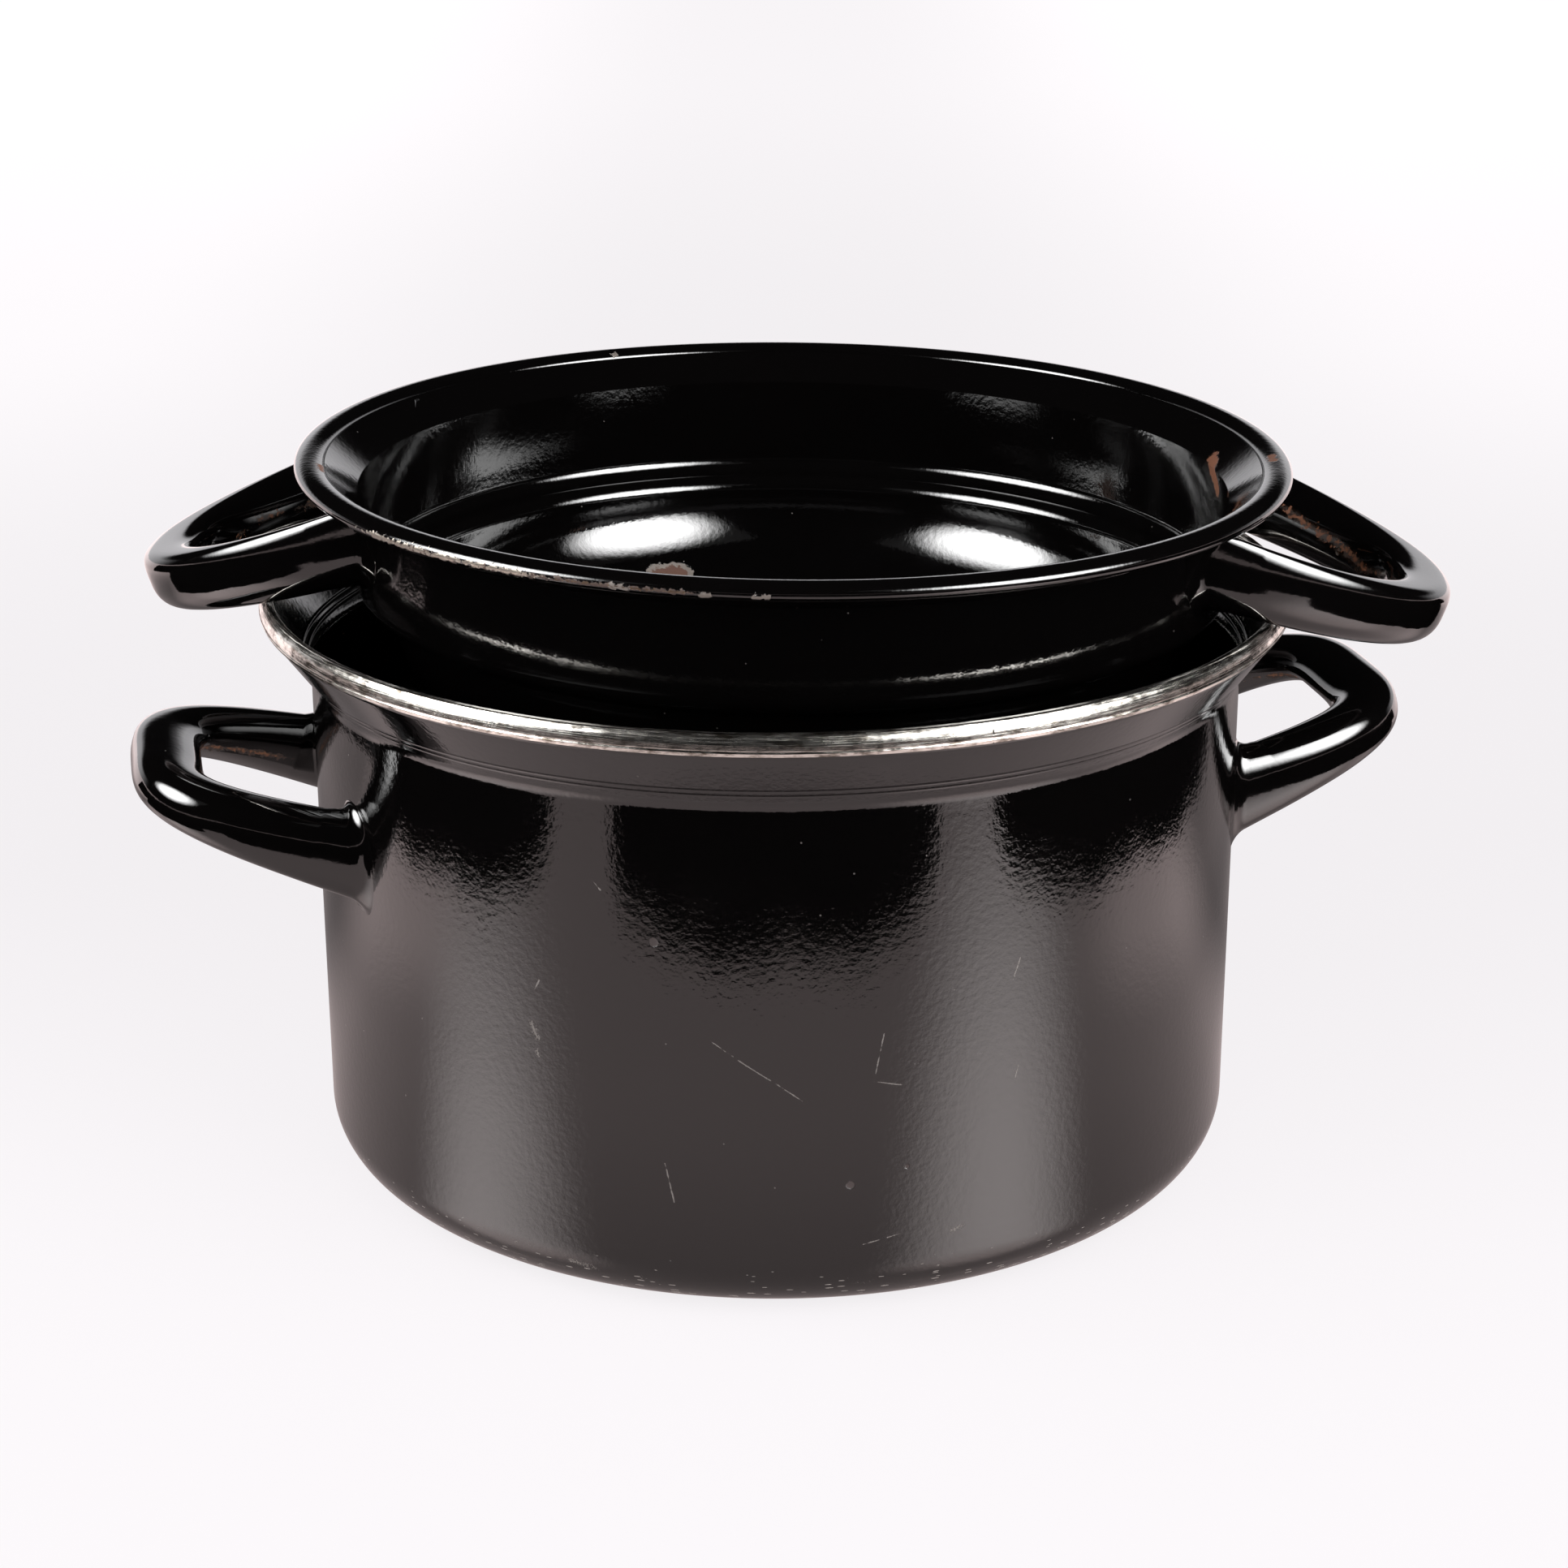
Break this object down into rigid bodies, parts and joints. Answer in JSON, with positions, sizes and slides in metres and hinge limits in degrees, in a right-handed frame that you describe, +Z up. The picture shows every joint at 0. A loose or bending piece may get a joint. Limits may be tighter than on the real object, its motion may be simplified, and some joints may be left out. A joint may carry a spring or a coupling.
{
  "type": "mussel pot",
  "caption": "Deep black enamelled steel cooking pot for mussels with a steel rim band and loop handles; its lid lies upside down in the mouth as a bowl for the empty shells.",
  "frame": {"origin": "centre of the flat base, on the surface the pot stands on", "axes": "+Z up along the pot's axis, +X to the side of the right-hand lid handle, so that the loop handles lie along X; -Y is the front"},
  "size_m": [0.3372, 0.2646, 0.1864],
  "materials": {
    "black_enamel": "glossy black vitreous enamel on steel",
    "black_enamel_lid": "glossy black vitreous enamel on steel, edge worn to the metal",
    "black_enamel_handles": "glossy black vitreous enamel on steel",
    "worn_stainless_steel": "polished stainless steel, scratched and stained by use"
  },
  "bodies": {
    "pot": {"pot_body": "black_enamel", "rim_band": "worn_stainless_steel", "pot_handle_left": "black_enamel_handles", "pot_handle_right": "black_enamel_handles"},
    "lid": {"lid_bowl": "black_enamel_lid", "lid_handle_left": "black_enamel_handles", "lid_handle_right": "black_enamel_handles"}
  },
  "joints": [
    {"name": "lid_lift", "type": "slide", "parent": "pot", "child": "lid", "axis": [0, 0, 1], "range_m": [0, 0.15]}
  ]
}
